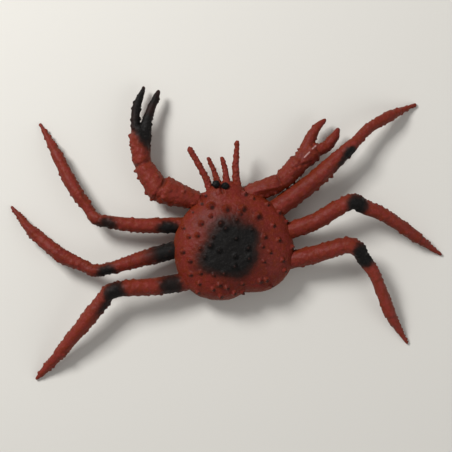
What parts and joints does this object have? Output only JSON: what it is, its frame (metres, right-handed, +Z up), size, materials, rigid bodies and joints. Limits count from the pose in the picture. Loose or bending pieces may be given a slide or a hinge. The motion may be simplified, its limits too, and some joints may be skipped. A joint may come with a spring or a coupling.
{
  "type": "toy crab",
  "caption": "Soft rubber toy crab with a warty domed shell, slender pincers, feelers and long bent legs, moulded whole.",
  "frame": {"origin": "middle of the belly's flat, on the surface the crab rests on", "axes": "+Z up, -Y towards the head, +X towards the crab's left legs"},
  "size_m": [0.2755, 0.1954, 0.0325],
  "materials": {
    "maroon_rubber": "satin moulded rubber with sprayed black patches"
  },
  "bodies": {
    "root": {"crab": "maroon_rubber"}
  },
  "joints": []
}
